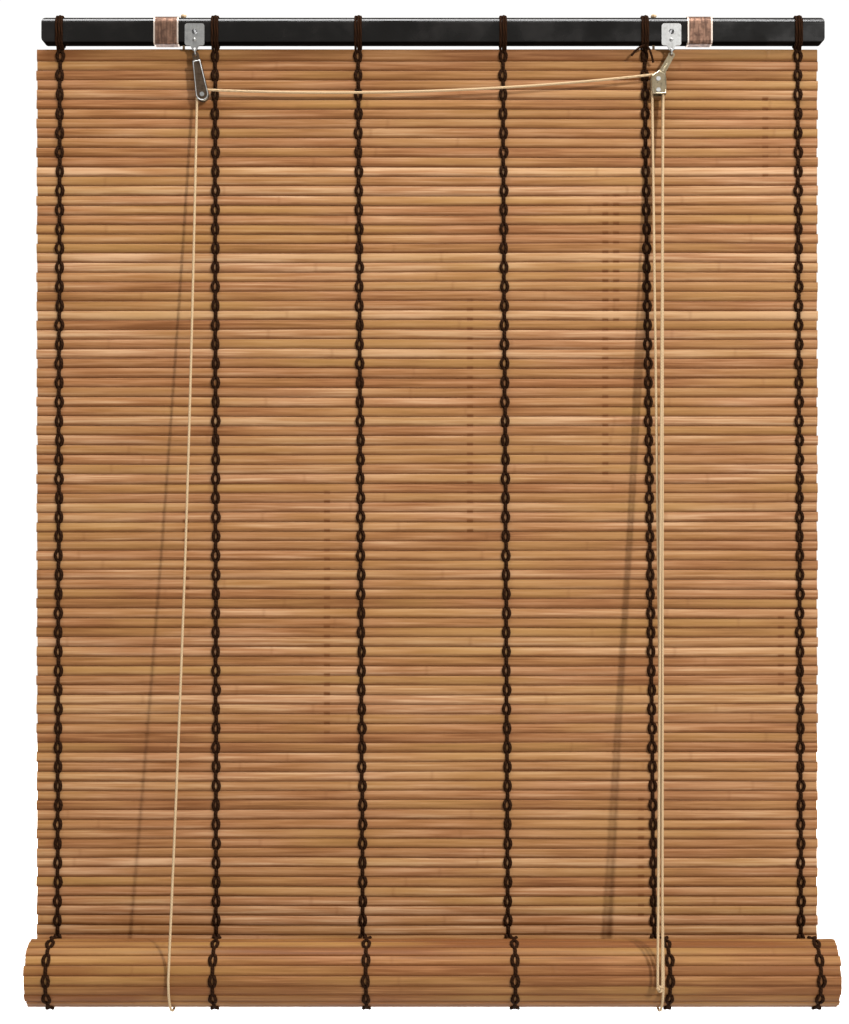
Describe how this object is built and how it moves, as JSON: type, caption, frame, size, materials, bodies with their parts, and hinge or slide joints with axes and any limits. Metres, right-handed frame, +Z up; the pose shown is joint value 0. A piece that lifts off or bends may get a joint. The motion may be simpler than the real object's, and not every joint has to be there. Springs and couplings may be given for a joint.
{
  "type": "bamboo roll-up blind",
  "caption": "Bamboo roll-up blind: a mat of flat slats woven on dark warp strings under a black head rail, half wound up in a roll, with lift cords, a pulley and a cord lock.",
  "frame": {"origin": "on the back of the head rail, half way between the two wall screw holes", "axes": "+X to the right seen from the front, +Y towards the wall, +Z up"},
  "size_m": [0.6063, 0.0667, 0.7598],
  "materials": {
    "lacquer": "black gloss lacquer",
    "bamboo": "split bamboo, oiled honey brown",
    "dowel": "plain turned rod",
    "bronze": "bronzed bent strip",
    "zinc": "zinc plated",
    "brass": "pale brass plated",
    "string": "dark brown twisted string",
    "cord": "beige braided cord"
  },
  "bodies": {
    "head": {"head_rail": "lacquer", "left_strap": "bronze", "right_strap": "bronze", "left_plate": "zinc", "right_plate": "zinc", "plate_nails": "zinc", "rail_tie_1": "string", "rail_tie_2": "string", "rail_tie_3": "string", "rail_tie_4": "string", "rail_tie_5": "string", "rail_tie_6": "string", "slat_mat": "bamboo", "warp_pair_1": "string", "warp_pair_2": "string", "warp_pair_3": "string", "warp_pair_4": "string", "warp_pair_5": "string", "warp_pair_6": "string", "left_cord_back": "cord", "left_cord_front": "cord", "cross_cord": "cord", "right_cord_back": "cord", "right_cord_front": "cord", "pull_cord_a": "cord", "pull_cord_b": "cord"},
    "slings": {"left_cord_sling": "cord", "right_cord_sling": "cord", "pull_knot": "cord"},
    "roll": {"slat_roll": "bamboo", "bottom_dowel": "dowel", "roll_warp_1": "string", "roll_warp_2": "string", "roll_warp_3": "string", "roll_warp_4": "string", "roll_warp_5": "string", "roll_warp_6": "string"},
    "pulley": {"left_ring": "zinc", "pulley_frame": "zinc", "pulley_pin": "zinc"},
    "pulley_wheel": {"pulley_wheel": "brass"},
    "lock": {"right_ring": "zinc", "lock_housing": "brass", "lock_wheel_pin": "zinc", "lock_cam_pin": "zinc"},
    "lock_wheel": {"lock_wheel": "zinc"},
    "cam": {"lock_cam": "brass"}
  },
  "joints": [
    {"name": "roll_lift", "type": "slide", "parent": "head", "child": "slings", "axis": [0, 0, 1], "range_m": [0, 0.6], "deforming": ["slat_mat", "warp_pair_1", "warp_pair_2", "warp_pair_3", "warp_pair_4", "warp_pair_5", "warp_pair_6", "left_cord_back", "right_cord_back", "left_cord_front", "right_cord_front", "pull_cord_a", "pull_cord_b"]},
    {"name": "roll_turn", "type": "hinge", "parent": "slings", "child": "roll", "pos_m": [0, -0.0314, -0.71485], "axis": [-1, 0, 0], "range_deg": [0, 1080]},
    {"name": "pulley_swing", "type": "hinge", "parent": "head", "child": "pulley", "pos_m": [-0.1825, -0.0125, -0.013], "axis": [0, 1, 0], "range_deg": [-8, 8], "deforming": ["cross_cord"]},
    {"name": "pulley_wheel_spin", "type": "hinge", "parent": "pulley", "child": "pulley_wheel", "pos_m": [-0.1765, -0.0125, -0.0485], "axis": [0, 1, 0], "continuous": true},
    {"name": "lock_swing", "type": "hinge", "parent": "head", "child": "lock", "pos_m": [0.1825, -0.0125, -0.013], "axis": [0, 1, 0], "range_deg": [-8, 8]},
    {"name": "lock_wheel_spin", "type": "hinge", "parent": "lock", "child": "lock_wheel", "pos_m": [0.172, -0.0125, -0.037], "axis": [0, 1, 0], "continuous": true},
    {"name": "cam_swing", "type": "hinge", "parent": "lock", "child": "cam", "pos_m": [0.172, -0.0125, -0.0455], "axis": [0, 1, 0], "range_deg": [0, 45]}
  ],
  "couplings": [
    {"joint": "roll_turn", "follows": "roll_lift", "rad_per_m": 31.416}
  ]
}
